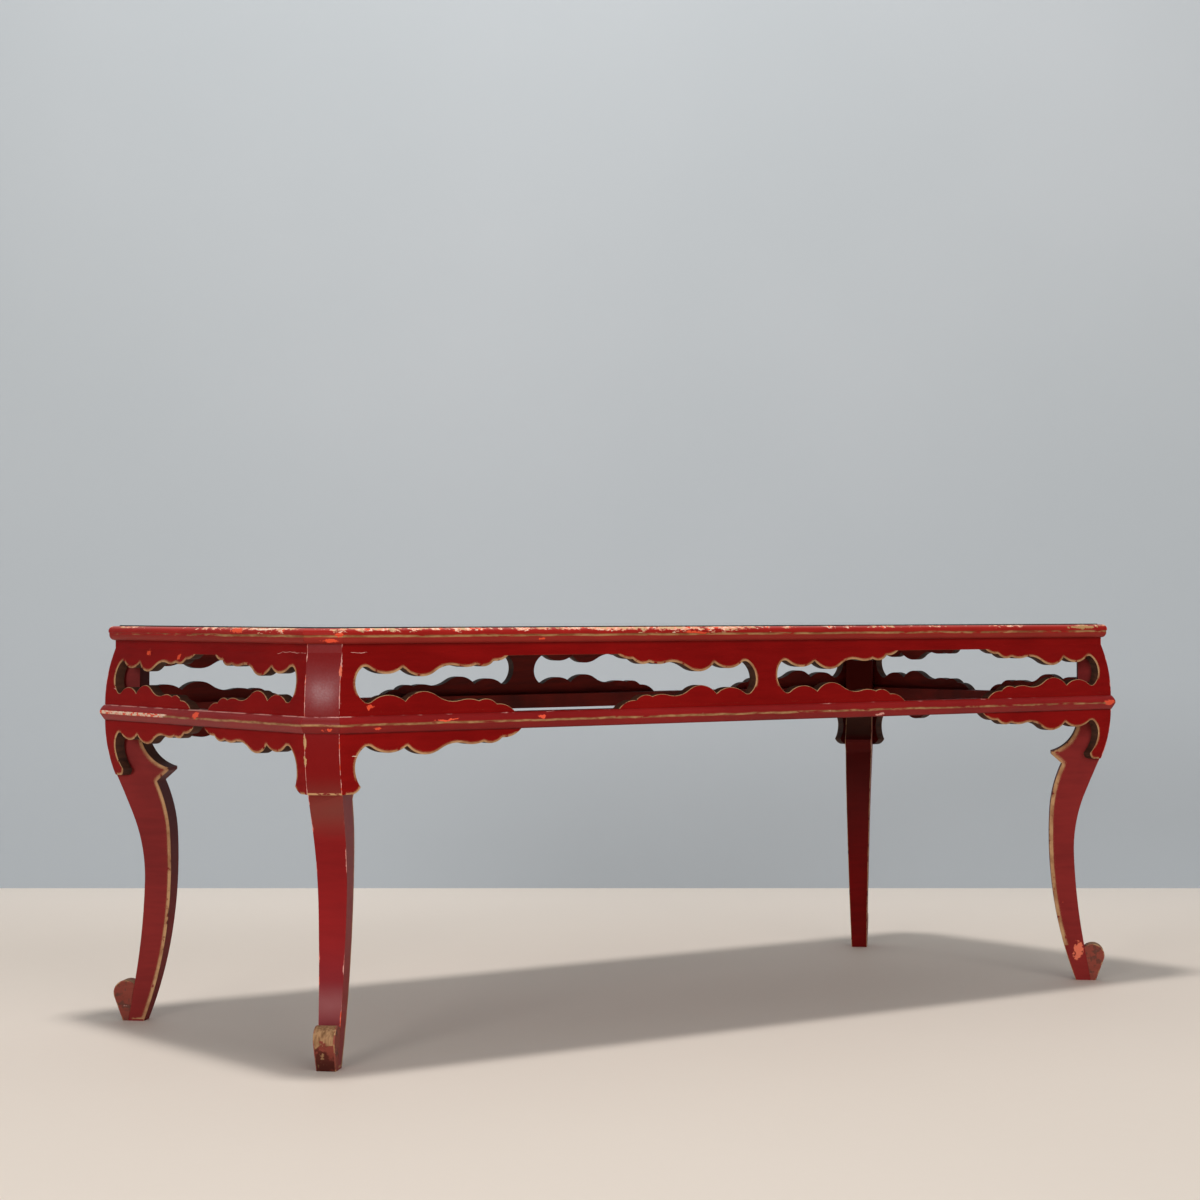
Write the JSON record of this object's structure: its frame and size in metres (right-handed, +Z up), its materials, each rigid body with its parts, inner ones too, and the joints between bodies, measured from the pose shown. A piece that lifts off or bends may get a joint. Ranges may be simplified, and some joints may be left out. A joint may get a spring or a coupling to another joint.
{
  "type": "coffee table",
  "caption": "Low red lacquered coffee table with a loose glass top, pierced bombe friezes, a belt rail, scalloped aprons and diagonal cabriole legs on scroll feet.",
  "frame": {"origin": "on the floor, under the centre of the table", "axes": "+X along the length, +Y towards the back long side, +Z up"},
  "size_m": [1.2, 0.503, 0.4512],
  "materials": {
    "red_lacquer": "worn red lacquer with old gold on the cut arrises",
    "moulding_lacquer": "worn red lacquer, chipped to the ground, with old gold lines",
    "leg_lacquer": "semi-gloss red lacquer with old gold on the inner arrises",
    "foot_lacquer": "red lacquer rubbed to bare wood",
    "top_lacquer": "red lacquer under the glass, dark stained below",
    "inside_wood": "dark red-brown stained wood",
    "clear_glass": "polished, with a dark green edge"
  },
  "bodies": {
    "frame": {"apron_back_left": "red_lacquer", "apron_back_right": "red_lacquer", "apron_front_left": "red_lacquer", "apron_front_right": "red_lacquer", "apron_left_back": "red_lacquer", "apron_left_front": "red_lacquer", "apron_right_back": "red_lacquer", "apron_right_front": "red_lacquer", "batten_left": "inside_wood", "batten_middle": "inside_wood", "batten_right": "inside_wood", "belt_back": "moulding_lacquer", "belt_corner_back_left": "moulding_lacquer", "belt_corner_back_right": "moulding_lacquer", "belt_corner_front_left": "moulding_lacquer", "belt_corner_front_right": "moulding_lacquer", "belt_front": "moulding_lacquer", "belt_left": "moulding_lacquer", "belt_right": "moulding_lacquer", "cleat_back": "inside_wood", "cleat_front": "inside_wood", "cleat_left": "inside_wood", "cleat_right": "inside_wood", "edge_back": "moulding_lacquer", "edge_corner_back_left": "moulding_lacquer", "edge_corner_back_right": "moulding_lacquer", "edge_corner_front_left": "moulding_lacquer", "edge_corner_front_right": "moulding_lacquer", "edge_front": "moulding_lacquer", "edge_left": "moulding_lacquer", "edge_right": "moulding_lacquer", "foot_scroll_back_left": "foot_lacquer", "foot_scroll_back_right": "foot_lacquer", "foot_scroll_front_left": "foot_lacquer", "foot_scroll_front_right": "foot_lacquer", "frieze_back": "red_lacquer", "frieze_front": "red_lacquer", "frieze_left": "red_lacquer", "frieze_right": "red_lacquer", "leg_back_left": "leg_lacquer", "leg_back_right": "leg_lacquer", "leg_front_left": "leg_lacquer", "leg_front_right": "leg_lacquer", "top_board": "top_lacquer"},
    "glass": {"glass_top": "clear_glass"}
  },
  "joints": [
    {"name": "glass_lift", "type": "slide", "parent": "frame", "child": "glass", "axis": [0, 0, 1], "range_m": [0, 0.06]}
  ]
}
